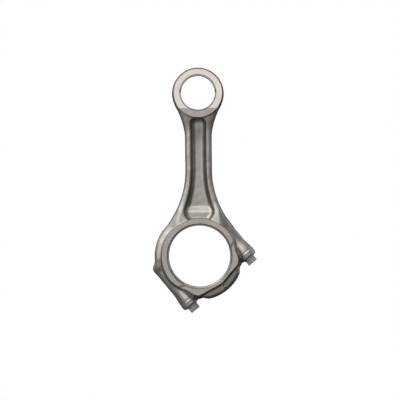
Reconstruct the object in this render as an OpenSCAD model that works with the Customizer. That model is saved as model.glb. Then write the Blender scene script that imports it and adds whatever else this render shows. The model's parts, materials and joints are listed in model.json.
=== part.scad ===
// Connecting rod of a medium diesel engine, with an oblique-split big end.
// The rod stands upright: +Z runs from the crank bore to the pin bore, and both bores lie along Y.
// The origin is the centre of the crank bore. Sizes are in millimetres.

/* [Centres and bores] */
// Distance from the crank bore's centre to the pin bore's centre
centre_distance = 192; // [188:1:200]
// Inner radius of the fitted bearing shells
crank_bore_r = 36; // [35.5:0.1:36.2]
// Wall thickness of each bearing shell
shell_wall = 1.8; // [1.5:0.1:1.8]
// Length of the bearing shells along the crankpin
shell_length = 34; // [30:0.5:35]
// Inner radius of the small-end bush
pin_bore_r = 20; // [18:0.5:21]
// Wall thickness of the small-end bush
bush_wall = 1.8; // [1.5:0.1:2.2]

/* [Big end] */
// Width over the two machined thrust faces
big_end_width = 38; // [36:0.5:40]
// Outer radius of the raised thrust land on the rod half
thrust_land_r = 44; // [43:0.5:45]
// Outer radius of the forged ring around the crank bore
ring_r = 52.6; // [52:0.1:53]
// Thickness of the forged shoulders and of the shank's flanges
shoulder_thickness = 26; // [24:0.5:28]
// Thickness of the strongback rib across the cap
strongback_thickness = 24; // [20:0.5:26]
// Depth of the chamfers at the ends of the housing bore
housing_chamfer = 1.2; // [0.8:0.1:1.5]

/* [Split and bolts] */
// Angle between the bolts and the rod's length, in degrees
split_angle = 39; // [38:0.5:40]
// Distance of each bolt's axis from the crank bore's centre
bolt_offset = 43.6; // [43.5:0.1:44]
// Distance of the bolt head seats below the joint face
seat_depth = 38; // [36:0.5:39]
// Outer radius of the bolt bosses at their seats
boss_r = 11; // [10:0.5:11.5]
// Radius of the bolts over the thread, for a 9 mm thread
bolt_r = 4.5; // [4:0.1:4.5]
// Length of thread held in the rod
thread_held = 16; // [14:0.5:17]
// Width across the flats of the hexagon heads
head_flats = 12; // [11:0.5:13]
// Height of the hexagon above its flange
head_height = 6; // [5:0.5:7]

/* [Shank] */
// Half of the shank's width at its narrowest
shank_half_width = 16; // [15:0.5:17]
// Thickness of the web between the two pockets
web_thickness = 7; // [6:0.5:9]
// Half of the pocket's width along the slender part
pocket_half_width = 9; // [8:0.5:10]

/* [Small end] */
// Outer radius of the small-end eye
eye_r = 30.3; // [29.5:0.1:31]
// Width of the eye at its full, lower part
eye_width = 36; // [34:0.5:38]
// Width of the eye at its crown, where the wedge is narrowest
crown_width = 24; // [22:0.5:28]
// Height below the pin bore's centre at which the wedge faces begin
wedge_start = 18.2; // [17:0.1:20]

/* [Hidden] */

$fn = 96;
through = 200;                                   // long enough to cut through everything
joint_overlap = 3;                               // the halves are drawn this far past the joint, then cut
housing_r = crank_bore_r + shell_wall;
eye_bore_r = pin_bore_r + bush_wall;
flank_left = 53;                                 // outer faces of the bolt columns, from the bore's centre
flank_right = 52.6;
shoulder_rise = 18;                              // height of the left column's straight flank above the joint
column_inner = 38.2;                             // inner faces of the cap's columns, under the land
column_drop = 19;                                // how far the columns reach below the joint
boss_neck_r = 8.6;                               // upper part of the bosses, inside the columns
boss_height = 30;
thread_clearance = 0.05;
shank_clearance = 0.2;
hole_rest = 3;                                   // depth drilled past the end of each bolt
flange_r = 7.1;
flange_height = 1.8;
tang_width = 5;                                  // locating tangs of the shells
tang_height = 0.7;                               // how far a tang stands out of the shell's back
tang_root = 1;                                   // how far its block reaches into the shell
tang_length = 4;
tang_y = -11.5;
tang_clearance = 0.2;
notch_width = 3;                                 // oil notches in the ends of the bush
notch_depth = 4;
notch_rise = 1.9;
bush_recess = 0.5;
slender_low = 100;                               // the shank has parallel sides between these heights
slender_high = centre_distance - 53;
neck_height = centre_distance - 14;              // where the neck runs into the eye
pocket_top = centre_distance - 29.5;
pocket_bottom = 45;

FORGED = [0.56, 0.54, 0.52];
MACHINED = [0.72, 0.70, 0.67];
LINING = [0.62, 0.61, 0.60];
BRONZE = [0.74, 0.66, 0.52];
BOLT = [0.45, 0.45, 0.46];

// A point on a cubic curve with four control points, t from 0 to 1
function cubic(a, b, c, d, t) =
    pow(1 - t, 3) * a + 3 * pow(1 - t, 2) * t * b + 3 * (1 - t) * t * t * c + pow(t, 3) * d;
// Evenly spaced points along that curve
function curve(a, b, c, d, steps) = [for (i = [0:steps]) cubic(a, b, c, d, i / steps)];
// Points of a circle about the origin from one angle to another
function arc(r, from, to, steps) =
    [for (i = [0:steps]) let (t = from + (to - from) * i / steps) [r * cos(t), r * sin(t)]];
// The same outline on the other side of the vertical axis, in reverse order
function mirrored(points) = [for (i = [len(points) - 1:-1:0]) [-points[i][0], points[i][1]]];
// From distance n across the bolts and rise v towards the rod, to the rod's own axes
function from_split(n, v) =
    [n * cos(split_angle) - v * sin(split_angle), n * sin(split_angle) + v * cos(split_angle)];

// An outline drawn in X and Z, given a thickness along Y
module slab(thickness) {
    rotate([90, 0, 0])
        linear_extrude(thickness, center = true)
            children();
}

// Turns its children so that X runs across the bolts and +Z along them, towards the rod
module along_bolts() {
    rotate([0, -split_angle, 0])
        children();
}

// A cylinder along Y about the crank bore's centre
module round_slab(r, thickness) {
    rotate([90, 0, 0])
        cylinder(r = r, h = thickness, center = true);
}

// Everything on the cap's side of the joint face
module cap_side() {
    along_bolts()
        translate([0, 0, -through / 2])
            cube(through, center = true);
}

// Everything on the rod's side of the joint face
module rod_side() {
    along_bolts()
        translate([0, 0, through / 2])
            cube(through, center = true);
}

// The housing bore with its two chamfers
module housing_bore() {
    round_slab(housing_r, through);
    for (side = [0, 180])
        rotate([90, 0, side])
            translate([0, 0, big_end_width / 2 - housing_chamfer])
                cylinder(r1 = housing_r, r2 = housing_r + 2 * housing_chamfer, h = 2 * housing_chamfer);
}

// The right-hand edge of the shank, from the big end up to the eye
function shank_edge() = concat(
    curve([43.2, 30], [40.1, 33.9], [shank_half_width, slender_low - 42],
          [shank_half_width, slender_low], 16),
    curve([shank_half_width, slender_high], [shank_half_width, slender_high + 17],
          [25.6, neck_height - 2.7], [27, neck_height], 10));

// The rod's outline in one piece: both bolt columns, the ring's outer arc, the shank and the neck
function rod_points() = concat(
    [from_split(-flank_left, -2 * joint_overlap)],
    shank_edge(),
    mirrored(shank_edge()),
    arc(ring_r, 147, 180, 8),
    curve(from_split(-44.5, 29), from_split(-50.5, 24.6), from_split(-flank_left - 0.2, 24),
          from_split(-flank_left, shoulder_rise), 6));

module rod_outline() {
    polygon(rod_points());
}

// The right-hand half of a pocket's outline
function pocket_edge() = concat(
    curve([10.5, pocket_bottom + 1], [15.5, pocket_bottom + 2], [17.6, pocket_bottom + 6],
          [16, pocket_bottom + 13], 6),
    curve([16, pocket_bottom + 13], [11.5, pocket_bottom + 25], [pocket_half_width, pocket_bottom + 40],
          [pocket_half_width, slender_low + 5], 8),
    curve([pocket_half_width, pocket_top - 9], [pocket_half_width, pocket_top - 2],
          [5, pocket_top], [0, pocket_top], 8));

module pocket_outline() {
    polygon(concat(pocket_edge(), mirrored(pocket_edge())));
}

// The two forged pockets that leave the shank an I-section
module pockets() {
    for (side = [-1, 1])
        translate([0, side * (web_thickness / 2 + shoulder_thickness / 2), 0])
            slab(shoulder_thickness)
                difference() {
                    pocket_outline();
                    circle(r = thrust_land_r + 1);
                }
}

// The space outside the wedge faces, moved towards the middle plane by inset
module wedge_space(inset) {
    rise = wedge_start + eye_r;
    lean = (eye_width - crown_width) / 2 / rise;
    for (side = [0, 180])
        rotate([0, 0, side])
            rotate([90, 0, 90])
                linear_extrude(through, center = true)
                    polygon([[eye_width / 2 - inset, -wedge_start],
                             [eye_width / 2 - inset - 2 * rise * lean, -wedge_start + 2 * rise],
                             [through / 2, -wedge_start + 2 * rise],
                             [through / 2, -wedge_start - through / 4],
                             [eye_width / 2 - inset, -wedge_start - through / 4]]);
}

// A hole along one bolt, from below the cap up to a height above the joint face
module bolt_hole(n, r, bottom, top) {
    along_bolts()
        translate([n, 0, bottom])
            cylinder(r = r, h = top - bottom, $fn = 48);
}

// A shell's locating tang at the right-hand joint edge, on the rod's side for up = 1, grown to cut its seat
module tang(up, grow) {
    along_bolts()
        translate([housing_r - tang_root, tang_y - tang_width / 2 - grow, up > 0 ? 0 : -tang_length - grow])
            cube([tang_root + tang_height + grow, tang_width + 2 * grow, tang_length + grow]);
}

module rod_body() {
    color(FORGED)
        difference() {
            union() {
                slab(shoulder_thickness)
                    rod_outline();
                round_slab(thrust_land_r, big_end_width);
                translate([0, 0, centre_distance])
                    difference() {
                        round_slab(eye_r, eye_width);
                        wedge_space(0);
                    }
            }
            cap_side();
            housing_bore();
            pockets();
            translate([0, 0, centre_distance])
                round_slab(eye_bore_r, through);
            for (n = [-bolt_offset, bolt_offset])
                bolt_hole(n, bolt_r + thread_clearance, -1, thread_held + hole_rest);
            tang(1, tang_clearance);
        }
}

// The raised land of the cap, which bulges towards the two bosses
function cap_land_points() = let (half = [[44, 2], [43.9, -2], [43.2, -9], [39.5, -18], [35.2, -29],
                                          [32.2, -33.2], [29, -35.6], [22.6, -38], [13.5, -40.3],
                                          [4.6, -42.4]])
    concat([for (p = half) from_split(p[0], p[1])],
           [for (i = [len(half) - 1:-1:0]) from_split(-half[i][0], half[i][1])]);

// The strongback behind the land: an arc with straight shoulders
function strongback_points() = let (half = concat([[38, 1], [36, -30], [30.2, -36.8], [28, -40]],
                                                  arc(ring_r, -62, -90, 6)))
    concat([for (p = half) from_split(p[0], p[1])],
           [for (i = [len(half) - 2:-1:0]) from_split(-half[i][0], half[i][1])]);

// A bolt boss: a neck that flares towards its machined seat
module boss(n) {
    along_bolts()
        translate([n, 0, -seat_depth])
            rotate_extrude($fn = 64)
                polygon([[0, 0], [boss_r - 0.8, 0], [boss_r, 0.8], [boss_r, 5], [boss_neck_r + 1, 12],
                         [boss_neck_r, 20], [boss_neck_r, boss_height], [0, boss_height]]);
}

// The columns between the joint face and the bosses
module cap_columns() {
    for (n = [[-flank_left, -column_inner], [column_inner, flank_right]])
        slab(shoulder_thickness)
            polygon([from_split(n[0], joint_overlap), from_split(n[0], -column_drop),
                     from_split(n[1], -column_drop), from_split(n[1], joint_overlap)]);
}

module bearing_cap() {
    color(FORGED)
        difference() {
            union() {
                slab(big_end_width)
                    polygon(cap_land_points());
                slab(strongback_thickness)
                    polygon(strongback_points());
                cap_columns();
                boss(-bolt_offset);
                boss(bolt_offset);
            }
            rod_side();
            housing_bore();
            for (n = [-bolt_offset, bolt_offset])
                bolt_hole(n, bolt_r + shank_clearance, -seat_depth - 1, 1);
            tang(-1, tang_clearance);
        }
}

module small_end_bush() {
    color(BRONZE)
        translate([0, 0, centre_distance])
            difference() {
                round_slab(eye_bore_r, eye_width - 2 * bush_recess);
                wedge_space(bush_recess);
                round_slab(pin_bore_r, through);
                for (side = [-1, 1], end = [-1, 1])
                    translate([side * eye_bore_r, end * (eye_width / 2 - bush_recess), notch_rise])
                        cube([4 * bush_wall, 2 * notch_depth, notch_width], center = true);
            }
}

// A half shell on the rod's side for up = 1, on the cap's side for up = -1
module shell(up) {
    difference() {
        union() {
            round_slab(housing_r, shell_length);
            tang(up, 0);
        }
        round_slab(crank_bore_r, through);
        if (up > 0)
            cap_side();
        else
            rod_side();
    }
}

module upper_bearing_shell() {
    color(LINING)
        shell(1);
}

module lower_bearing_shell() {
    color(LINING)
        shell(-1);
}

// A hexagon bolt with a flange under its head, its thread drawn as a plain cylinder
module cap_bolt(n) {
    tip = seat_depth + thread_held;
    color(BOLT)
        along_bolts()
            translate([n, 0, -seat_depth]) {
                rotate_extrude($fn = 48)
                    polygon([[0, -flange_height], [flange_r - 0.6, -flange_height], [flange_r, -0.8],
                             [flange_r, 0], [bolt_r, 0], [bolt_r, tip - 1], [bolt_r - 0.8, tip], [0, tip]]);
                translate([0, 0, -flange_height - head_height])
                    rotate(30)
                        cylinder(r = head_flats / 2 / cos(30), h = head_height + 0.5, $fn = 6);
            }
}

module left_cap_bolt() {
    cap_bolt(-bolt_offset);
}

module right_cap_bolt() {
    cap_bolt(bolt_offset);
}

rod_body();
bearing_cap();
small_end_bush();
upper_bearing_shell();
lower_bearing_shell();
left_cap_bolt();
right_cap_bolt();
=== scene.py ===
import json
import math

import bmesh
import bpy
import numpy as np
import openvdb
from mathutils import Matrix, Vector


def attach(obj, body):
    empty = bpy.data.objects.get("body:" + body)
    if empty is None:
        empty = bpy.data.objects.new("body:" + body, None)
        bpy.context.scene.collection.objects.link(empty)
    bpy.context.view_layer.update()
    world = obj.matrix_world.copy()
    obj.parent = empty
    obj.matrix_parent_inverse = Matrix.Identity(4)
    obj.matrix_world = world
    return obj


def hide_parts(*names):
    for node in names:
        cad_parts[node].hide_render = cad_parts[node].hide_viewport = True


# A forged connecting rod with an oblique-split big end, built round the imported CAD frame. The forged
# surfaces are iso-surfaces of distance fields with draft and fillets, and everything that is machined on
# the real rod is then cut into them. Lengths are in millimetres up to the point where a mesh is made.

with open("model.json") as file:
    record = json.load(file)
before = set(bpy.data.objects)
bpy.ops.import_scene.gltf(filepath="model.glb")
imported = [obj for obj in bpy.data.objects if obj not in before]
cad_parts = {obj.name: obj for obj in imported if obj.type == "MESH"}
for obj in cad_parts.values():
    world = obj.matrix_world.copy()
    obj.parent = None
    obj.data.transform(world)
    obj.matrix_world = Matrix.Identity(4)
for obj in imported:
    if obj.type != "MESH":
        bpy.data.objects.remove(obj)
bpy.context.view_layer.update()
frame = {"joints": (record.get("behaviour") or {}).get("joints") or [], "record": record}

MM = 0.001

# ---------------------------------------------------------------- sizes from the frame
MOUNTS = {m["name"]: m for m in frame["record"]["mounts"]}
JOINTS = {j["name"]: j for j in frame["joints"]}
CRANK_R = MOUNTS["crank_bore"]["dims"]["r_mm"]
PIN_R = MOUNTS["pin_bore"]["dims"]["r_mm"]
CENTRES = MOUNTS["pin_bore"]["pos_m"][2] / MM
SHELL_HALF = MOUNTS["crank_bore"]["dims"]["length_mm"] / 2
FACE = abs(MOUNTS["front_thrust_face"]["pos_m"][1]) / MM
PULL = Vector(JOINTS["cap_slide"]["axis"])
SPLIT = math.atan2(PULL.x, -PULL.z)
BOLT_N = math.hypot(*JOINTS["left_bolt_turn"]["pos_m"]) / MM

# ---------------------------------------------------------------- sizes of the bores and bearings
SHELL_WALL = 1.8
BUSH_WALL = 1.8
HOUSING_R = CRANK_R + SHELL_WALL
EYE_BORE_R = PIN_R + BUSH_WALL
HOUSING_CHAMFER = 0.8
SHELL_CHAMFER = 1.1
BUSH_CHAMFER = 0.3
PRESSED = 0.01
BUSH_INSET = 0.5
NOTCH_SPAN = (0.2, 3.8)
NOTCH_DEPTH = 4
TANG_LENGTH = 4
TANG_HEIGHT = 0.7
TANG_HALF = 2.5
TANG_Y = -11.5
TANG_CLEARANCE = 0.2

# ---------------------------------------------------------------- sizes of the forging
# Drafts are rises across the die for each millimetre of depth. Half sizes are measured along the bores.
# Stock is what the forging has on it to be ground away.
DRAFT = math.tan(math.radians(5.5))
WALL_DRAFT = math.tan(math.radians(16))
LAND_DRAFT = math.tan(math.radians(14))
EYE_DRAFT = math.tan(math.radians(7))
LAND_R = 44.0
RING_R = 52.6
BACK_R = 51.2
FLANGE_HALF = 13.0
WEB_HALF = 3.5
EYE_R = 30.2
EYE_DROP = 0.9
EYE_HALF = 18.0
STOCK = 2.0
CROWN_HALF = 12.0
BACK_HALF_DEPTH = 11.0
SPOT_FACE_R = 8.2
WEDGE_START = 18.2
COLUMN_R = 8.8
BOSS_R = 11.0
BOSS_TRIM = 0.5
SEAT = 38.0
SEAT_STOCK = 0.6
BOLT_R = 4.5
PITCH = 1.25
THREAD = 16.0
THREAD_CLEARANCE = 0.05
HOLE_CLEARANCE = 0.2
HOLE_PAST = 5
DRILL_PAST = 3
SHELF_LOW, SHELF_HIGH = 51.0, 59.5
SHELF_RISE = 3.8
FLOOR_RISE = 2.8
HAUNCH = 1.8
NECK_RISE = 3.4
TOE_DROP = 3.4
CROWNING, CROWN_FLAT = 0.12, 9
OUTWARD_LEFT, OUTWARD_RIGHT = 0.09, 0.18
OUTWARD_FROM, OUTWARD_OVER = 12, 11
SLOPE, SLOPE_UNIT = 0.66, 1.2
SLOPE_TOP, SLOPE_LENGTH = 80, 46
SLOPE_WIDTH, SLOPE_SPREAD, SLOPE_LOSS = 1.4, 8.6, 6.4
BACK_LEAN = 0.14
PIP_N, PIP_V, PIP_R, PIP_SUNK = 1.0, -46.2, 2.3, 0.7
FLASH_RISE = 0.28
FLASH_HALF = 0.75
MARK_N, MARK_DOWN = 38.8, 13.4
MARK_LEAN = 25.0
MARK_LENGTH, MARK_WIDTH, MARK_DEPTH = 9.0, 2.4, 0.8

# Radii of the forging's blends
ROUNDED = 0.5
BEDDED = 0.9
SLAB_EDGE = 1.6
SLOPE_EDGE, SLOPE_EDGE_MORE = 1.0, 2.0
POCKET_FILLET = 4.0
POCKET_RIM = 1.3
COLUMN_EDGE = 4.5
EYE_FILLET = 1.6
FLASH_FILLET = 0.3
BACK_EDGE = 3.0
BOSS_EDGE = 2.6
BOSS_FILLET = 3.4

# Each bolt column of the rod: its side, how far up the bolt it reaches and its fillet into the shoulder
COLUMNS = ((-1, 24.6, 6.0), (1, 24.0, 2.4))

# Each ring-shaped swell or hollow of a boss: its height, its place along the bolt and its half width
BOSS_WAIST = (-0.7, -13, 8)
BOSS_BEAD = (0.25, -32.6, 0.8)
BOSS_GROOVE = (-0.25, -30.4, 0.9)

# How closely the fields are sampled, and the gentle unevenness of the forged skin
STEP = 0.55
WAVES = 9
SKIN = 0.05


# ---------------------------------------------------------------- outlines
def curve(a, b, c, d, steps):
    """Points of a cubic curve with four control points."""
    out = []
    for i in range(steps + 1):
        t = i / steps
        w = ((1 - t) ** 3, 3 * (1 - t) ** 2 * t, 3 * (1 - t) * t * t, t ** 3)
        out.append(tuple(sum(k * p[j] for k, p in zip(w, (a, b, c, d))) for j in (0, 1)))
    return out


def arc(r, start, end, steps):
    """Points of an arc about the origin, angles in degrees."""
    turns = [math.radians(start + (end - start) * i / steps) for i in range(steps + 1)]
    return [(r * math.cos(t), r * math.sin(t)) for t in turns]


def mirrored(points):
    """The same points on the other side of the upright axis, in reverse order."""
    return [(-x, z) for x, z in reversed(points)]


def from_split(n, v):
    """From n across the bolts and v along them, towards the rod, to the rod's own X and Z."""
    return (n * math.cos(SPLIT) - v * math.sin(SPLIT), n * math.sin(SPLIT) + v * math.cos(SPLIT))


SHANK_HALF = 15.5
SLENDER = (100.0, CENTRES - 53)
NECK = CENTRES - 14
# The shank's right-hand edge, from the shoulder up to the eye
SHANK_EDGE = (
    curve((43.2, 30), (39.1, 33.5), (SHANK_HALF, 62), (SHANK_HALF, SLENDER[0]), 18)
    + curve((SHANK_HALF, SLENDER[1]), (SHANK_HALF, SLENDER[1] + 17), (25.6, NECK - 2.7), (27, NECK), 12)
)
ROD_OUTLINE = (
    [from_split(RING_R - 0.3, -12)]
    + SHANK_EDGE
    + mirrored(SHANK_EDGE)
    + arc(RING_R, 147, 198, 20)
    + [from_split(-40, 14), from_split(-34, -6), from_split(0, -10)]
)
POCKET_TOP = CENTRES - 29.5
POCKET_HALF = 9.3
# The pocket's right-hand edge, from below the land up to its round top
POCKET_EDGE = (
    [(0, 38)]
    + curve((10, 40), (14.5, 44.5), (19.5, 49), (16.9, 58), 8)
    + curve((16.9, 58), (12.4, 70), (POCKET_HALF, 84), (POCKET_HALF, 106), 10)
    + curve((POCKET_HALF, POCKET_TOP - 9), (POCKET_HALF, POCKET_TOP - 2), (5.6, POCKET_TOP),
            (0, POCKET_TOP), 8)
)
POCKET_OUTLINE = POCKET_EDGE + mirrored(POCKET_EDGE)[1:-1]

# Right-hand halves of the cap's land and of the strongback, in the split's own axes
LAND_HALF = [(44, 3), (43.9, -2), (43, -7), (41.3, -12), (39.3, -16), (37, -19.6), (35.4, -23.4),
             (34.3, -27.6), (32.5, -31.8), (29.3, -34.8), (23, -36.4), (15.5, -37.6), (8.5, -39.1),
             (2.3, -40.2)]
LAND_OUTLINE = LAND_HALF + mirrored(LAND_HALF)
BACK_HALF = [(38, 3), (36, -30), (30.4, -36.9), (28, -40)] + arc(BACK_R, -60, -90, 10)[1:]
BACK_OUTLINE = BACK_HALF + mirrored(BACK_HALF[:-1])


# ---------------------------------------------------------------- distance fields
class Grid:
    """Evenly spaced sample points between two corners."""

    def __init__(self, low, high, step):
        self.low, self.step = low, step
        spans = [np.arange(a, b + step, step, dtype=np.float32) for a, b in zip(low, high)]
        self.x, self.y, self.z = np.meshgrid(*spans, indexing="ij", sparse=True)
        self.depth = np.abs(self.y)


def outline_distance(points, x, z):
    """Signed distance in the plane from a closed outline, negative inside."""
    near = np.full(np.broadcast(x, z).shape, 1e9, np.float32)
    inside = np.zeros(near.shape, bool)
    for (ax, az), (bx, bz) in zip(points, points[1:] + points[:1]):
        ex, ez = bx - ax, bz - az
        along = np.clip(((x - ax) * ex + (z - az) * ez) / max(ex * ex + ez * ez, 1e-9), 0, 1)
        near = np.minimum(near, (x - ax - along * ex) ** 2 + (z - az - along * ez) ** 2)
        if az != bz:
            inside ^= ((az > z) != (bz > z)) & (x < ex * (z - az) / ez + ax)
    return np.where(inside, -1, 1).astype(np.float32) * np.sqrt(near)


def meet(a, b, r):
    """The overlap of two fields, its edge rounded to radius r."""
    return np.minimum(np.maximum(a, b), -r) + np.hypot(np.maximum(a + r, 0), np.maximum(b + r, 0))


def join(a, b, r):
    """Both fields together, with a fillet of radius r between them."""
    return np.maximum(np.minimum(a, b), r) - np.hypot(np.maximum(r - a, 0), np.maximum(r - b, 0))


def carve(a, b, r):
    """The first field without the second, its edge rounded to radius r."""
    return meet(a, -b, r)


def ease(low, high, value):
    """0 below low, 1 above high, and a smooth rise between them."""
    t = np.clip((value - low) / (high - low), 0, 1)
    return t * t * (3 - 2 * t)


def swell(grid, seed, size, height):
    """A gentle unevenness of the forged skin: smooth noise with bumps of about that size."""
    rng = np.random.default_rng(seed)
    out = 0
    for _ in range(WAVES):
        turn = rng.normal(size=3)
        turn /= np.linalg.norm(turn)
        pace = 2 * math.pi / size * rng.uniform(0.6, 1.5)
        phase = rng.uniform(0, 2 * math.pi)
        out = out + np.sin((grid.x * turn[0] + grid.y * turn[1] + grid.z * turn[2]) * pace + phase)
    return (out * (height / 3)).astype(np.float32)


# ---------------------------------------------------------------- meshes
def mesh_object(name, points, faces, material):
    """An object from points in millimetres and a list or array of faces."""
    mesh = bpy.data.meshes.new(name)
    mesh.from_pydata((np.asarray(points, float) * MM).tolist(), [], faces)
    mesh.validate()
    piece = bpy.data.objects.new(name, mesh)
    bpy.context.scene.collection.objects.link(piece)
    mesh.materials.append(material)
    return piece


def signed_volume(points, quads):
    """Six times the volume inside a mesh of quads, positive if its faces look outwards."""
    a, b, c, d = (points[quads[:, i]] for i in range(4))
    return np.einsum("ij,ij->", a, np.cross(b, c)) + np.einsum("ij,ij->", a, np.cross(c, d))


def iso_surface(name, grid, field, material):
    """The mesh on which a field is zero."""
    volume = openvdb.FloatGrid(float(grid.step * 4))
    volume.copyFromArray(np.ascontiguousarray(field, np.float32))
    points, quads = volume.convertToQuads(0.0)
    points = points * grid.step + np.array(grid.low, np.float32)
    if signed_volume(points, quads) < 0:
        quads = quads[:, ::-1]
    return mesh_object(name, points, quads.tolist(), material)


def lathe(name, profile, material, segments, turn=None):
    """A closed solid of revolution about Y, from (radius, height) points that start and end on the axis."""
    points, rings = [], []
    for r, y in profile:
        if r == 0:
            rings.append([len(points)])
            points.append((0, y, 0))
            continue
        start = len(points)
        rings.append(list(range(start, start + segments)))
        angles = [2 * math.pi * i / segments for i in range(segments)]
        points += [(r * math.cos(t), y, r * math.sin(t)) for t in angles]
    faces = []
    for low, high in zip(rings, rings[1:]):
        for i in range(segments):
            j = (i + 1) % segments
            loop = [low[i % len(low)], low[j % len(low)], high[j % len(high)], high[i % len(high)]]
            faces.append(tuple(dict.fromkeys(loop)))
    piece = mesh_object(name, points, faces, material)
    if turn is not None:
        piece.data.transform(turn)
    outwards(piece)
    return piece


def prism(name, outline, half, material, turn):
    """An outline in X and Z, given a thickness along Y to both sides of the middle plane, then turned."""
    count = len(outline)
    points = [(x, -half, z) for x, z in outline] + [(x, half, z) for x, z in outline]
    faces = [tuple(range(count)), tuple(range(2 * count - 1, count - 1, -1))]
    for i in range(count):
        j = (i + 1) % count
        faces.append((i, i + count, j + count, j))
    piece = mesh_object(name, points, faces, material)
    piece.data.transform(turn)
    outwards(piece)
    return piece


def outwards(piece):
    """Turns a closed mesh's faces so that they look outwards."""
    mesh = piece.data
    mesh.calc_loop_triangles()
    points = np.array([v.co for v in mesh.vertices])
    corners = np.array([t.vertices for t in mesh.loop_triangles])
    a, b, c = (points[corners[:, i]] for i in range(3))
    if np.einsum("ij,ij->", a, np.cross(b, c)) < 0:
        mesh.flip_normals()


def moved(x=0.0, y=0.0, z=0.0):
    """A shift in millimetres."""
    return Matrix.Translation((x * MM, y * MM, z * MM))


# Puts what was made in the split's own axes, X across the bolts and Z along them, into the rod's axes
TO_ROD = Matrix.Rotation(-SPLIT, 4, "Y")
# Stands a lathe's Y axis up along Z
UPRIGHT = Matrix.Rotation(math.radians(90), 4, "X")


def shaped(piece, tools):
    """Applies a list of (operation, cutter) to a piece and removes the cutters."""
    for operation, cutter in tools:
        step = piece.modifiers.new(operation, "BOOLEAN")
        step.operation = operation
        step.solver = "MANIFOLD"
        step.object = cutter
        step.material_mode = "TRANSFER"
    graph = bpy.context.evaluated_depsgraph_get()
    mesh = bpy.data.meshes.new_from_object(piece.evaluated_get(graph), depsgraph=graph)
    old = piece.data
    piece.modifiers.clear()
    piece.data = mesh
    mesh.name = piece.name
    bpy.data.meshes.remove(old)
    for _, cutter in tools:
        bpy.data.objects.remove(cutter)
    return piece


def soften(piece, angle):
    """Smooth shading, with edges sharper than an angle and edges between two finishes kept crisp."""
    mesh = piece.data
    mesh.shade_smooth()
    mesh.set_sharp_from_angle(angle=math.radians(angle))
    cage = bmesh.new()
    cage.from_mesh(mesh)
    for edge in cage.edges:
        if len({face.material_index for face in edge.link_faces}) > 1:
            edge.smooth = False
    cage.to_mesh(mesh)
    cage.free()


def finished(piece, body, node, angle=32):
    """Shades a piece, hangs it on its body's empty and hides the CAD part that it stands for."""
    soften(piece, angle)
    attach(piece, body)
    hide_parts(node)
    return piece


# ---------------------------------------------------------------- materials
def shader(name, metallic=1.0):
    """A new material, with its node tree and its surface node."""
    material = bpy.data.materials.new(name)
    material.use_nodes = True
    tree = material.node_tree
    surface = tree.nodes["Principled BSDF"]
    surface.inputs["Metallic"].default_value = metallic
    return material, tree, surface


def node(tree, kind, **settings):
    """A node with its settings; a name that is a socket sets that socket's value."""
    made = tree.nodes.new(kind)
    for key, value in settings.items():
        if key in made.inputs:
            made.inputs[key].default_value = value
        else:
            setattr(made, key, value)
    return made


def noise(tree, where, scale, detail, roughness=0.55):
    """Fractal noise over a position."""
    made = node(tree, "ShaderNodeTexNoise", Scale=scale, Detail=detail, Roughness=roughness)
    tree.links.new(where, made.inputs["Vector"])
    return made.outputs["Fac"]


def spread(tree, value, low, high, dark, light):
    """Maps a value between two limits onto a range, or onto a blend of two colours."""
    if isinstance(dark, tuple):
        tones = node(tree, "ShaderNodeValToRGB")
        first, last = tones.color_ramp.elements
        first.position, last.position = low, high
        first.color, last.color = (*dark, 1), (*light, 1)
        tree.links.new(value, tones.inputs["Fac"])
        return tones.outputs["Color"]
    scaled = node(tree, "ShaderNodeMapRange")
    for key, number in (("From Min", low), ("From Max", high), ("To Min", dark), ("To Max", light)):
        scaled.inputs[key].default_value = number
    tree.links.new(value, scaled.inputs["Value"])
    return scaled.outputs["Result"]


def blend(tree, factor, a, b, kind="MIX"):
    """Mixes two colours by a factor, which may be a number or a socket."""
    mix = node(tree, "ShaderNodeMix", data_type="RGBA", blend_type=kind)
    for socket, value in ((mix.inputs[0], factor), (mix.inputs[6], a), (mix.inputs[7], b)):
        if isinstance(value, bpy.types.NodeSocket):
            tree.links.new(value, socket)
        elif isinstance(value, tuple):
            socket.default_value = (*value, 1)
        else:
            socket.default_value = value
    return mix.outputs[2]


def bumped(tree, surface, heights):
    """Chains bump nodes from (height socket, strength, distance in millimetres)."""
    last = None
    for height, strength, distance in heights:
        bump = node(tree, "ShaderNodeBump", Strength=strength, Distance=distance * MM)
        tree.links.new(height, bump.inputs["Height"])
        if last:
            tree.links.new(last, bump.inputs["Normal"])
        last = bump.outputs["Normal"]
    tree.links.new(last, surface.inputs["Normal"])


def steel(name, dark, light, rough, grain, strength, edges=0.0):
    """Bare steel with a fine grain, blotches of tone and, on a forging, edges rubbed bright and painted shade
    darkening its creases and hollows.
    """
    material, tree, surface = shader(name)
    where = node(tree, "ShaderNodeTexCoord").outputs["Object"]
    blotch = noise(tree, where, 45, 3)
    fine = noise(tree, where, grain, 5, 0.7)
    colour = spread(tree, blotch, 0.3, 0.7, dark, light)
    colour = blend(tree, spread(tree, fine, 0.3, 0.75, 0.0, 0.22), colour, tuple(0.55 * c for c in dark))
    if edges:
        point = node(tree, "ShaderNodeNewGeometry").outputs["Pointiness"]
        worn = spread(tree, point, 0.51, 0.60, 0.0, edges)
        # Painted shade: creases and hollows, found by low pointiness, are darkened where shade would fall
        painted_crevice_shade = spread(tree, point, 0.40, 0.495, edges, 0.0)
        colour = blend(tree, worn, colour, tuple(min(1.0, 1.45 * c) for c in light))
        colour = blend(tree, painted_crevice_shade, colour, tuple(0.35 * c for c in dark))
    tree.links.new(colour, surface.inputs["Base Color"])
    tree.links.new(spread(tree, fine, 0.25, 0.75, rough[0], rough[1]), surface.inputs["Roughness"])
    bumped(tree, surface, [(blotch, 0.35, 0.25), (fine, strength, 0.06)])
    return material


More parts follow.
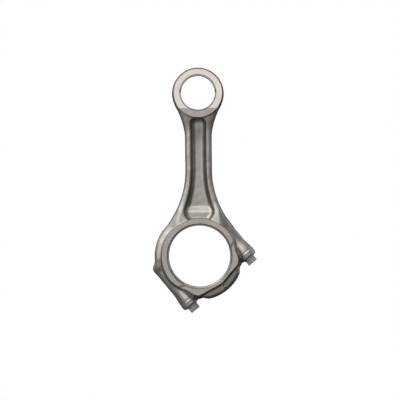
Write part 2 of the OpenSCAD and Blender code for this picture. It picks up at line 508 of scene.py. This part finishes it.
def turned(name, dark, light, rough, centre_z, spacing, straight=False):
    """Machined steel: fine concentric tool marks about a bore, or straight ones."""
    material, tree, surface = shader(name)
    place = node(tree, "ShaderNodeMapping")
    place.inputs["Location"].default_value = (0, 0, -centre_z * MM)
    tree.links.new(node(tree, "ShaderNodeTexCoord").outputs["Object"], place.inputs["Vector"])
    where = place.outputs["Vector"]
    marks = node(tree, "ShaderNodeTexWave", wave_type="BANDS" if straight else "RINGS")
    if straight:
        marks.bands_direction = "DIAGONAL"
    else:
        marks.rings_direction = "Y"
    # At scale 1 the wave turns through this many radians for each metre
    wave_rate = 20
    for key, value in (("Scale", 1 / (spacing * MM) / wave_rate), ("Distortion", 0.6), ("Detail", 2.0),
                       ("Detail Scale", 0.02)):
        marks.inputs[key].default_value = value
    tree.links.new(where, marks.inputs["Vector"])
    cloud = noise(tree, where, 60, 3)
    fine = noise(tree, where, 2500, 3, 0.6)
    colour = spread(tree, cloud, 0.3, 0.7, dark, light)
    colour = blend(tree, spread(tree, fine, 0.35, 0.75, 0.0, 0.12), colour, tuple(0.6 * c for c in dark))
    tree.links.new(colour, surface.inputs["Base Color"])
    tree.links.new(spread(tree, cloud, 0.25, 0.75, rough[0], rough[1]), surface.inputs["Roughness"])
    bumped(tree, surface, [(marks.outputs["Fac"], 0.25, 0.02), (fine, 0.2, 0.02)])
    return material


# The last number of the forged skin and of the bolt steel sets their rubbed-bright edges and the painted
# shade in their creases
FORGED = steel("forged_skin", (0.30, 0.281, 0.258), (0.40, 0.374, 0.345), (0.32, 0.44), 1400, 0.5, 0.5)
THRUST = turned("ground_thrust_face", (0.345, 0.313, 0.290), (0.405, 0.368, 0.341), (0.36, 0.46), 0, 0.35)
# Painted shade: the bores and the housing's chamfer are coloured darker than the ground faces to stand for
# the shade round the bore
BORED_AND_SHADE = turned("bored_housing", (0.26, 0.248, 0.232), (0.32, 0.306, 0.287), (0.28, 0.36), 0, 0.3)
WEDGE = turned("ground_wedge_face", (0.395, 0.368, 0.338), (0.475, 0.443, 0.407), (0.26, 0.34), CENTRES, 0.4,
               True)
SEATED = turned("milled_seat", (0.36, 0.35, 0.33), (0.44, 0.42, 0.40), (0.28, 0.36), 0, 0.3, True)
FRACTURE = steel("fractured_joint", (0.42, 0.40, 0.38), (0.55, 0.53, 0.50), (0.35, 0.6), 900, 1.0)
# Painted shade: the marks' walls are coloured dark to stand for the shade inside the shallow marks
MARK_SHADE = turned("milled_mark", (0.15, 0.139, 0.129), (0.2, 0.186, 0.173), (0.36, 0.46), 0, 0.3)
# Painted shade: the bush's notches are coloured near black to stand for the shade inside them
NOTCH_SHADE = turned("oiled_notch", (0.05, 0.046, 0.041), (0.08, 0.074, 0.066), (0.36, 0.46), 0, 0.3)
BRONZE = turned("bored_bronze", (0.50, 0.40, 0.25), (0.60, 0.49, 0.32), (0.25, 0.33), CENTRES, 0.25)
# Painted shade: the backing steel of the shells and bush is coloured darker than bare steel to stand for the
# shade at their recessed ends
BACKING_AND_SHADE = turned("shell_backing", (0.175, 0.165, 0.155), (0.225, 0.213, 0.2), (0.34, 0.42), 0, 0.3)
LINING = turned("bearing_lining", (0.48, 0.48, 0.48), (0.56, 0.56, 0.55), (0.30, 0.38), 0, 0.25)
BOLT = steel("bolt_steel", (0.415, 0.402, 0.393), (0.51, 0.495, 0.484), (0.32, 0.44), 1800, 0.25, 0.4)


# ---------------------------------------------------------------- the rod's forging
# How far the sample points reach to the sides and along the bores
REACH, DEEP = 60, 22

# Heights above the crank bore's centre between which a feature of the forging grows in or dies out
HAUNCH_IN, HAUNCH_OUT = (20, 36), (36, 62)
OUTWARD_IN, OUTWARD_OUT = (14, 38), (50, 66)
NECK_IN = (NECK - 32, NECK - 6)
CROWN_IN = (60, 84)
SLOPE_IN = (14, 36)
SLOPE_EDGE_IN = (20, 44)
FLOOR_IN = (128, POCKET_TOP + 2)
LEAN_OUT = (20, 40)

# The left toe, in the split's own axes: across the bolts and along them
TOE_N, TOE_V = (-30, -40), (29, 16)


def rod_forging():
    """The rod as it leaves the die: shank, eye, shoulders, bolt columns and the raised land."""
    grid = Grid((-REACH, -DEEP, -46), (REACH, DEEP, CENTRES + 34), STEP)
    x, depth, z = grid.x, grid.depth, grid.z
    n = x * math.cos(SPLIT) + z * math.sin(SPLIT)
    v = z * math.cos(SPLIT) - x * math.sin(SPLIT)
    edge = outline_distance(ROD_OUTLINE, x, z)

    # Shank and shoulders: a flange that thickens at the haunches and the neck and falls off at the left toe,
    # and an outer face that slopes away
    haunch = HAUNCH * (ease(*HAUNCH_IN, z) - ease(*HAUNCH_OUT, z))
    flange = FLANGE_HALF + haunch + NECK_RISE * ease(*NECK_IN, z)
    rate = np.where(x > 0, OUTWARD_RIGHT, OUTWARD_LEFT)
    outward = rate * np.clip(np.abs(x) - OUTWARD_FROM, 0, OUTWARD_OVER)
    flange = flange + outward * (ease(*OUTWARD_IN, z) - ease(*OUTWARD_OUT, z))
    flange = flange - TOE_DROP * ease(*TOE_V, v) * ease(*TOE_N, n)
    crown = CROWNING * np.maximum(edge + SHANK_HALF - CROWN_FLAT, 0) * ease(*CROWN_IN, z)
    slab = meet(edge + depth * DRAFT, depth - flange + crown, SLAB_EDGE)
    taper = np.clip((SLOPE_TOP - z) / SLOPE_LENGTH, 0, 1)
    width = SLOPE_WIDTH + SLOPE_SPREAD * taper * taper - SLOPE_LOSS * (1 - ease(*SLOPE_IN, z))
    slope = (depth - flange + SLOPE * (edge + width)) / SLOPE_UNIT
    slab = meet(slab, slope, SLOPE_EDGE + SLOPE_EDGE_MORE * (1 - ease(*SLOPE_EDGE_IN, z)))

    # The pocket: drafted walls, a wide fillet, and a floor that rises to a shelf below and a little above
    pocket = outline_distance(POCKET_OUTLINE, x, z)
    shelf = SHELF_RISE * (1 - ease(SHELF_LOW, SHELF_HIGH, z))
    web = WEB_HALF + shelf + FLOOR_RISE * ease(*FLOOR_IN, z)
    hollow = meet(pocket + (FLANGE_HALF - depth) * WALL_DRAFT, web - depth, POCKET_FILLET)
    slab = carve(slab, hollow, POCKET_RIM)

    # Bolt columns, half round about the bolts' axes
    for side, top, fillet in COLUMNS:
        column = np.hypot(n - side * BOLT_N, depth) - COLUMN_R
        column = meet(column, v - top, COLUMN_EDGE)
        slab = join(slab, column, fillet)

    # The raised land round the crank bore, whose wall leans more below the shoulders
    lean = DRAFT + (LAND_DRAFT - DRAFT) * (1 - ease(*LEAN_OUT, z))
    land = meet(np.hypot(x, z) - LAND_R - (FACE - depth) * lean, depth - FACE - STOCK, ROUNDED)
    body = join(slab, land, BEDDED)

    # The eye, whose rim stands a little lower than its bore
    rim = np.hypot(x, z - CENTRES + EYE_DROP) - EYE_R
    eye = meet(rim + depth * EYE_DRAFT, depth - EYE_HALF - STOCK, ROUNDED)
    body = join(body, eye, EYE_FILLET)

    # The trimmed flash line on the die's parting plane
    flash = np.maximum(body - FLASH_RISE, depth - FLASH_HALF)
    body = join(body, flash, FLASH_FILLET)
    body = body + swell(grid, seed=7, size=11, height=SKIN)
    return iso_surface("rod_body_visual", grid, body, FORGED)


def wedge_cutter(sign, inset, material):
    """The space outside one wedge face of the eye, moved towards the middle plane by inset."""
    rise = WEDGE_START + EYE_R
    lean = (EYE_HALF - CROWN_HALF) / rise
    y0 = EYE_HALF - inset
    top = 2 * rise
    out, half = 60, 80
    outline = [(y0, -WEDGE_START), (y0 - lean * top, top - WEDGE_START), (out, top - WEDGE_START),
               (out, -WEDGE_START)]
    quarter = Matrix.Rotation(math.radians(90 * sign), 4, "Z")
    return prism("wedge", outline, half, material, moved(z=CENTRES) @ quarter)


def face_cutter(sign, z0, z1, distance, material):
    """Everything outside a plane across the bores, between two heights."""
    wide, half = 90, 20
    outline = [(-wide, z0), (wide, z0), (wide, z1), (-wide, z1)]
    return prism("face", outline, half, material, moved(y=sign * (distance + half)))


def housing_cutter(material):
    """The housing bore with its two chamfers."""
    past = 10
    end = FACE + past
    wide = HOUSING_R + HOUSING_CHAMFER + past
    inner = FACE - HOUSING_CHAMFER
    profile = [(0, -end), (wide, -end), (HOUSING_R, -inner), (HOUSING_R, inner), (wide, end), (0, end)]
    return lathe("housing", profile, material, 360)


def eye_cutter(material):
    """The eye's bore, without chamfers."""
    end = EYE_HALF + 25
    profile = [(0, -end), (EYE_BORE_R, -end), (EYE_BORE_R, end), (0, end)]
    return lathe("eye", profile, material, 256, moved(z=CENTRES))


def bolt_hole(n, r, bottom, top, material):
    """A hole along one bolt, in the split's axes."""
    profile = [(0, bottom), (r, bottom), (r, top), (0, top)]
    return lathe("hole", profile, material, 64, TO_ROD @ moved(n) @ UPRIGHT)


# The fracture's unevenness: wavelengths with their weights, and how many directions each one has
FRACTURE_WAVES = ((22, 0.10), (9, 0.07), (4, 0.05), (2.2, 0.03))
FRACTURE_TURNS = 5


def fracture_cutter(side):
    """Everything on one side of the fractured joint face, which is slightly uneven."""
    half_n, half_y, reach, step = 75.0, 30.0, 90.0, 0.75
    across = np.arange(-half_n, half_n + step, step)
    deep = np.arange(-half_y, half_y + step, step)
    nn, yy = np.meshgrid(across, deep, indexing="ij")
    rng = np.random.default_rng(19)
    height = np.zeros_like(nn)
    for size, weight in FRACTURE_WAVES:
        for _ in range(FRACTURE_TURNS):
            turn = rng.uniform(0, 2 * math.pi)
            pace = 2 * math.pi / size * rng.uniform(0.7, 1.3)
            phase = rng.uniform(0, 2 * math.pi)
            height += weight / 2 * np.sin((nn * math.cos(turn) + yy * math.sin(turn)) * pace + phase)
    rows, columns = nn.shape
    top = np.stack([nn, yy, height], -1).reshape(-1, 3)
    far = np.stack([nn, yy, np.full_like(nn, side * reach)], -1).reshape(-1, 3)
    index = np.arange(rows * columns).reshape(rows, columns)
    quads = np.stack([index[:-1, :-1], index[1:, :-1], index[1:, 1:], index[:-1, 1:]], -1).reshape(-1, 4)
    faces = quads.tolist() + (quads[:, ::-1] + rows * columns).tolist()
    rim = np.concatenate([index[:, 0], index[-1, 1:], index[-2::-1, -1], index[0, -2:0:-1]])
    after = np.roll(rim, -1)
    shift = rows * columns
    faces += np.stack([rim + shift, after + shift, after, rim], -1).tolist()
    piece = mesh_object("fracture", np.concatenate([top, far]), faces, FRACTURE)
    piece.data.transform(TO_ROD)
    outwards(piece)
    return piece


def tang_box(side, grow, material):
    """A bearing shell's locating tang at the right-hand end of its joint face."""
    past, inside = 0.5, 1
    low, high = (-past, TANG_LENGTH + grow) if side > 0 else (-TANG_LENGTH - grow, past)
    n0, n1 = HOUSING_R - inside, HOUSING_R + TANG_HEIGHT + grow
    outline = [(n0, low), (n1, low), (n1, high), (n0, high)]
    return prism("tang", outline, TANG_HALF + grow, material, TO_ROD @ moved(y=TANG_Y))


# Heights between which the big end's thrust faces and the eye's flats are cut
THRUST_LOW, THRUST_HIGH = -60, 80
FLAT_LOW, FLAT_HIGH = 140, CENTRES - WEDGE_START + 1


def rod_body():
    """The rod's forging, machined."""
    piece = rod_forging()
    hole_r = BOLT_R + THREAD_CLEARANCE
    tools = [("DIFFERENCE", fracture_cutter(-1))]
    tools += [("DIFFERENCE", face_cutter(s, THRUST_LOW, THRUST_HIGH, FACE, THRUST)) for s in (-1, 1)]
    tools += [("DIFFERENCE", face_cutter(s, FLAT_LOW, FLAT_HIGH, EYE_HALF, THRUST)) for s in (-1, 1)]
    tools += [("DIFFERENCE", wedge_cutter(s, 0, WEDGE)) for s in (-1, 1)]
    tools += [("DIFFERENCE", housing_cutter(BORED_AND_SHADE))]
    tools += [("DIFFERENCE", eye_cutter(BORED_AND_SHADE))]
    tools += [("DIFFERENCE", bolt_hole(s * BOLT_N, hole_r, -HOLE_PAST, THREAD + DRILL_PAST, SEATED))
              for s in (-1, 1)]
    tools += [("DIFFERENCE", tang_box(1, TANG_CLEARANCE, SEATED))]
    return finished(shaped(piece, tools), "rod", "rod_body")


# ---------------------------------------------------------------- the cap's forging
# Places along the bolts between which the bosses flare, and depths between which their waist appears
BOSS_FLARE = (-16, -33)
WAIST_DEPTHS = (2, 9)


def ring_swell(swelling, v):
    """How far a boss stands out at v along its bolt because of one ring-shaped swell."""
    height, place, half_width = swelling
    return height * np.exp(-((v - place) / half_width) ** 2)


def cap_forging():
    """The cap as forged, in the split's axes: land, strongback and two trumpet-shaped bolt bosses."""
    grid = Grid((-REACH, -DEEP, -58), (REACH, DEEP, 6), STEP)
    n, depth, v = grid.x, grid.depth, grid.z
    beside = outline_distance(LAND_OUTLINE, n, v)
    land = meet(beside - (FACE - depth) * LAND_DRAFT, depth - FACE - STOCK, ROUNDED)

    # The strongback, whose face leans outwards, and the two bosses
    back = outline_distance(BACK_OUTLINE, n, v)
    body = meet(back + depth * DRAFT, depth - BACK_HALF_DEPTH + BACK_LEAN * beside, BACK_EDGE)
    flare = (BOSS_R - BOSS_TRIM - COLUMN_R) * ease(*BOSS_FLARE, v)
    waist = ring_swell(BOSS_WAIST, v) * ease(*WAIST_DEPTHS, depth)
    bead = ring_swell(BOSS_BEAD, v) + ring_swell(BOSS_GROOVE, v)
    for side in (-1, 1):
        boss = np.hypot(n - side * BOLT_N, depth) - COLUMN_R - flare - waist - bead
        boss = meet(boss, -SEAT - SEAT_STOCK - v, BOSS_EDGE)
        body = join(body, boss, BOSS_FILLET)
    body = join(body, land, BEDDED)

    # The round pip on the strongback, then the flash line
    above = depth - BACK_HALF_DEPTH + PIP_SUNK
    pip = np.sqrt((n - PIP_N) ** 2 + (v - PIP_V) ** 2 + above ** 2) - PIP_R
    body = join(body, pip, ROUNDED)
    flash = np.maximum(body - FLASH_RISE, depth - FLASH_HALF)
    body = join(body, flash, FLASH_FILLET)
    body = body + swell(grid, seed=11, size=10, height=SKIN)
    piece = iso_surface("bearing_cap_visual", grid, body, FORGED)
    piece.data.transform(TO_ROD)
    return piece


def seat_cutter(n, material):
    """The spot face under one bolt head."""
    end = -SEAT - 30
    profile = [(0, end), (SPOT_FACE_R, end), (SPOT_FACE_R, -SEAT), (0, -SEAT)]
    return lathe("seat", profile, material, 96, TO_ROD @ moved(n) @ UPRIGHT)


def relief_mark(side, face):
    """A short shallow mark across one end of the cap's land, on one face."""
    lean = Matrix.Rotation(math.radians(-side * MARK_LEAN), 4, "Y")
    place = TO_ROD @ moved(side * MARK_N, face * FACE, -MARK_DOWN) @ lean
    reach, half = MARK_LENGTH / 2, MARK_WIDTH / 2
    outline = [(-reach, -half), (reach, -half), (reach, half), (-reach, half)]
    # The mark's walls carry the dark painted shade
    return prism("mark", outline, MARK_DEPTH, MARK_SHADE, place)


def bearing_cap():
    """The cap's forging, machined."""
    piece = cap_forging()
    hole_r = BOLT_R + HOLE_CLEARANCE
    tools = [("DIFFERENCE", fracture_cutter(1))]
    tools += [("DIFFERENCE", face_cutter(s, THRUST_LOW, THRUST_HIGH, FACE, THRUST)) for s in (-1, 1)]
    tools += [("DIFFERENCE", housing_cutter(BORED_AND_SHADE))]
    tools += [("DIFFERENCE", seat_cutter(s * BOLT_N, SEATED)) for s in (-1, 1)]
    tools += [("DIFFERENCE", bolt_hole(s * BOLT_N, hole_r, -SEAT - HOLE_PAST, HOLE_PAST, SEATED))
              for s in (-1, 1)]
    tools += [("DIFFERENCE", tang_box(-1, TANG_CLEARANCE, SEATED))]
    tools += [("DIFFERENCE", relief_mark(side, face)) for side in (-1, 1) for face in (-1, 1)]
    return finished(shaped(piece, tools), "cap", "bearing_cap")


# ---------------------------------------------------------------- bearings
def ring_piece(name, r0, r1, half, chamfer, back, inner, segments=256):
    """A plain bush with chamfered ends, one material on its inner wall and one on the rest."""
    edge = 0.1
    profile = [(r0 + chamfer, -half), (r1 - edge, -half), (r1, -half + edge), (r1, half - edge),
               (r1 - edge, half), (r0 + chamfer, half), (r0, half - chamfer), (r0, -half + chamfer)]
    # From this point of the profile on, the faces are the inner wall and its chamfers
    first_inner = 5
    points, faces, slots = [], [], []
    count = len(profile)
    for i in range(segments):
        t = 2 * math.pi * i / segments
        points += [(r * math.cos(t), y, r * math.sin(t)) for r, y in profile]
    for i in range(segments):
        a, b = i * count, (i + 1) % segments * count
        for k in range(count):
            m = (k + 1) % count
            faces.append((a + k, a + m, b + m, b + k))
            slots.append(1 if k >= first_inner else 0)
    piece = mesh_object(name, points, faces, back)
    piece.data.materials.append(inner)
    piece.data.polygons.foreach_set("material_index", slots)
    outwards(piece)
    return piece


def small_end_bush():
    """The pressed-in bush, cut to the eye's wedge, with an oil notch at both sides of each end."""
    long, outer_r = EYE_HALF + 3, EYE_BORE_R - PRESSED
    piece = ring_piece("small_end_bush_visual", PIN_R, outer_r, long, BUSH_CHAMFER, BACKING_AND_SHADE, BRONZE)
    piece.data.transform(moved(z=CENTRES))
    tools = [("DIFFERENCE", wedge_cutter(s, BUSH_INSET, BACKING_AND_SHADE)) for s in (-1, 1)]
    flat = EYE_HALF - BUSH_INSET
    tools += [("DIFFERENCE", face_cutter(s, FLAT_HIGH - 40, FLAT_HIGH, flat, BACKING_AND_SHADE)) for s in (-1, 1)]
    low, high = NOTCH_SPAN
    for side in (-1, 1):
        inner, outer = side * EYE_BORE_R - NOTCH_DEPTH, side * EYE_BORE_R + NOTCH_DEPTH
        notch = [(inner, low), (outer, low), (outer, high), (inner, high)]
        for end in (-1, 1):
            place = moved(y=end * flat, z=CENTRES)
            # The notches' walls carry the near-black painted shade
            tools.append(("DIFFERENCE", prism("notch", notch, NOTCH_DEPTH, NOTCH_SHADE, place)))
    return finished(shaped(piece, tools), "rod", "small_end_bush")


def shell(side, name, body, node_name):
    """One bearing shell, above or below the joint face, with its tang."""
    piece = ring_piece(name, CRANK_R, HOUSING_R - PRESSED, SHELL_HALF, SHELL_CHAMFER, BACKING_AND_SHADE, LINING, 360)
    wide = 90
    far = wide * side
    half_plane = [(-wide, 0), (wide, 0), (wide, far), (-wide, far)]
    tools = [("UNION", tang_box(side, 0, BACKING_AND_SHADE)),
             ("INTERSECT", prism("half", half_plane, 60, BACKING_AND_SHADE, TO_ROD))]
    return finished(shaped(piece, tools), body, node_name)


# ---------------------------------------------------------------- bolts
HEAD_FLATS = 12.0
HEAD_HEIGHT = 6.0
BOLT_FLANGE = 1.8
FLANGE_R = 7.1
DISH_R = 2.2
DISH_RIM_R = 3.6
DISH_DEPTH = 0.7
POLE_R = 0.001
TIP = SEAT + THREAD
TIP_CHAMFER = 0.9
THREAD_START = SEAT - 2.0
THREAD_DEPTH = 0.61 * PITCH
RUN_OUT = 1.5
RELIEF_START = THREAD_START - 2
RELIEF_DEPTH = 0.75
RELIEF_EDGE = 0.5
WAIST_START = 12
WAIST_DEPTH = 0.55
FITTED = 0.02


def hexagon(angle):
    """How far a hexagon with a corner towards the viewer reaches at an angle, for a unit half width."""
    turn = (angle - math.radians(90)) % math.radians(60) - math.radians(30)
    return 1 / math.cos(turn)


def bolt_radius(h, angle):
    """The bolt's radius at height h above its seat: thread, relief, waist and fitted body."""
    if h > THREAD_START:
        phase = ((h / PITCH) - angle / (2 * math.pi)) % 1.0
        tooth = abs(phase - 0.5) * 2
        # A little more than the full range of the tooth, so that crest and root are flat
        depth = THREAD_DEPTH * min(1.0, max(0.0, 1.14 * tooth - 0.07))
        fade = min(1.0, (h - THREAD_START) / RUN_OUT)
        r = BOLT_R - depth * fade
        return min(r, BOLT_R - TIP_CHAMFER + (TIP - h))
    if h > RELIEF_START:
        near = min(THREAD_START - h, h - RELIEF_START)
        return BOLT_R - RELIEF_DEPTH * min(1.0, near / RELIEF_EDGE)
    if h > WAIST_START:
        return BOLT_R - WAIST_DEPTH * min(1.0, h - WAIST_START, RELIEF_START - h)
    return BOLT_R - FITTED


def cap_bolt(side, name, body, node_name):
    """One bolt as a single skin: hexagon with a dished top, flange, shank and a real helical thread."""
    segments = 96
    angles = [2 * math.pi * i / segments for i in range(segments)]
    top = -BOLT_FLANGE - HEAD_HEIGHT
    flat = HEAD_FLATS / 2
    rows = []
    # The dished top
    floor_h = top + DISH_DEPTH
    for r, h in ((POLE_R, floor_h), (DISH_R, floor_h), (3.0, top + 0.15), (DISH_RIM_R, top),
                 (flat * 0.93, top)):
        rows.append([(r, h)] * segments)
    # The hexagon, its corners cut by a cone
    for down in (0.0, 0.2, 0.45, 0.8):
        cone = flat * 0.97 + down * 1.9
        rows.append([(min(flat * hexagon(a), cone), top + down + 0.02) for a in angles])
    rows.append([(flat * hexagon(a), -BOLT_FLANGE - 0.35) for a in angles])
    rows.append([(min(flat * hexagon(a) + 0.25, FLANGE_R - 0.3), -BOLT_FLANGE - 0.05) for a in angles])
    # The flange
    for r, h in ((FLANGE_R - 0.25, -BOLT_FLANGE + 0.25), (FLANGE_R, -BOLT_FLANGE + 0.65), (FLANGE_R, -0.25),
                 (FLANGE_R - 0.2, 0), (BOLT_R + 0.15, 0)):
        rows.append([(r, h)] * segments)
    # The shank and its thread
    count = 460
    for i in range(1, count + 1):
        h = 0.3 + (TIP - 0.3) * i / count
        rows.append([(bolt_radius(h, a), h) for a in angles])
    rows.append([(POLE_R, TIP)] * segments)

    points, faces = [], []
    for row in rows:
        points += [(r * math.cos(a), r * math.sin(a), h) for (r, h), a in zip(row, angles)]
    for k in range(len(rows) - 1):
        for i in range(segments):
            j = (i + 1) % segments
            faces.append((k * segments + i, k * segments + j, (k + 1) * segments + j, (k + 1) * segments + i))
    faces.append(tuple(reversed(range(segments))))
    last = (len(rows) - 1) * segments
    faces.append(tuple(range(last, last + segments)))
    piece = mesh_object(name, points, faces, BOLT)
    piece.data.transform(TO_ROD @ moved(side * BOLT_N, 0, -SEAT))
    outwards(piece)
    return finished(piece, body, node_name, 28)


rod_body()
bearing_cap()
small_end_bush()
shell(1, "upper_bearing_shell_visual", "rod", "upper_bearing_shell")
shell(-1, "lower_bearing_shell_visual", "cap", "lower_bearing_shell")
cap_bolt(-1, "left_cap_bolt_visual", "left_bolt", "left_cap_bolt")
cap_bolt(1, "right_cap_bolt_visual", "right_bolt", "right_cap_bolt")


# ---------------------------------------------------------------- stage, light and camera
# In metres
FLOOR_R = 0.46
FLOOR_Z = -0.21
VIEW_DISTANCE = 5.0
VIEW_WIDTH = 0.4701
VIEW_X, VIEW_Z = 0.0012, 0.066
VIEW_ROLL = math.radians(-0.6)
TENT_STRENGTH = 3.0


def floor():
    """A round pale floor below the rod."""
    place = (0, 0, FLOOR_Z)
    bpy.ops.mesh.primitive_circle_add(vertices=128, radius=FLOOR_R, fill_type="NGON", location=place)
    piece = bpy.context.object
    piece.name = "floor"
    material, tree, surface = shader("pale_floor", 0.0)
    surface.inputs["Base Color"].default_value = (0.9, 0.9, 0.9, 1)
    surface.inputs["Roughness"].default_value = 0.9
    piece.data.materials.append(material)
    # The rod's own reflections stay free of it
    piece.visible_glossy = False


def ramp(tree, value, stops):
    """A smooth grey curve through (position, brightness) stops."""
    made = node(tree, "ShaderNodeValToRGB")
    made.color_ramp.interpolation = "EASE"
    elements = made.color_ramp.elements
    while len(elements) < len(stops):
        elements.new(0.5)
    for element, (place, grey) in zip(elements, stops):
        element.position = (place + 1) / 2
        element.color = (grey, grey, grey, 1)
    lifted = node(tree, "ShaderNodeMath", operation="MULTIPLY_ADD")
    lifted.inputs[1].default_value = 0.5
    lifted.inputs[2].default_value = 0.5
    tree.links.new(value, lifted.inputs[0])
    tree.links.new(lifted.outputs[0], made.inputs["Fac"])
    return made.outputs["Color"]


# How bright the studio is by height, by side in front, by side behind, and from front to back
SKY = [(-1.0, 0.08), (-0.6, 0.18), (-0.35, 0.28), (-0.12, 0.31), (0.0, 0.37), (0.2, 0.85), (0.42, 1.07),
       (0.85, 1.05), (1.0, 0.7)]
FRONT = [(-1.0, 0.5), (-0.95, 0.27), (-0.85, 0.4), (-0.65, 0.85), (-0.45, 1.0), (-0.1, 0.72), (0.12, 0.62),
         (0.45, 0.28), (0.7, 0.11), (0.9, 0.12), (1.0, 0.5)]
BEHIND = [(-1.0, 0.45), (-0.6, 0.35), (-0.3, 0.12), (0.1, 0.08), (0.4, 0.12), (0.75, 0.32), (1.0, 0.5)]
DEPTHS = [(-1.0, 1.0), (0.6, 1.0), (0.85, 0.6), (1.0, 0.2)]


def surroundings():
    """White to the camera; to the object, a tent that is bright above the horizon and to the left."""
    world = bpy.data.worlds.new("studio")
    bpy.context.scene.world = world
    world.use_nodes = True
    tree = world.node_tree
    tree.nodes.clear()
    out = node(tree, "ShaderNodeOutputWorld")
    ray = node(tree, "ShaderNodeLightPath").outputs["Is Camera Ray"]
    seen = node(tree, "ShaderNodeBackground", Color=(1, 1, 1, 1), Strength=1.0)
    split = node(tree, "ShaderNodeSeparateXYZ")
    tree.links.new(node(tree, "ShaderNodeTexCoord").outputs["Generated"], split.inputs[0])
    behind = spread(tree, split.outputs["Y"], 0.0, 0.4, 0.0, 1.0)
    left_right = split.outputs["X"]
    sides = blend(tree, behind, ramp(tree, left_right, FRONT), ramp(tree, left_right, BEHIND))
    tent = blend(tree, 1.0, ramp(tree, split.outputs["Z"], SKY), sides, "MULTIPLY")
    tent = blend(tree, 1.0, tent, ramp(tree, split.outputs["Y"], DEPTHS), "MULTIPLY")
    lit = node(tree, "ShaderNodeBackground", Strength=TENT_STRENGTH)
    tree.links.new(tent, lit.inputs["Color"])
    mix = node(tree, "ShaderNodeMixShader")
    tree.links.new(ray, mix.inputs[0])
    tree.links.new(lit.outputs[0], mix.inputs[1])
    tree.links.new(seen.outputs[0], mix.inputs[2])
    tree.links.new(mix.outputs[0], out.inputs["Surface"])


def camera():
    """A long lens square to the rod's front face."""
    data = bpy.data.cameras.new("camera")
    data.sensor_width = 36
    data.lens = data.sensor_width * VIEW_DISTANCE / VIEW_WIDTH
    data.clip_end = 50
    piece = bpy.data.objects.new("camera", data)
    bpy.context.scene.collection.objects.link(piece)
    piece.location = (VIEW_X, -VIEW_DISTANCE, VIEW_Z)
    level = Matrix.Rotation(math.radians(90), 3, "X")
    piece.rotation_euler = (level @ Matrix.Rotation(VIEW_ROLL, 3, "Z")).to_euler()
    bpy.context.scene.camera = piece


floor()
surroundings()
camera()
bpy.context.scene.view_settings.view_transform = "Standard"
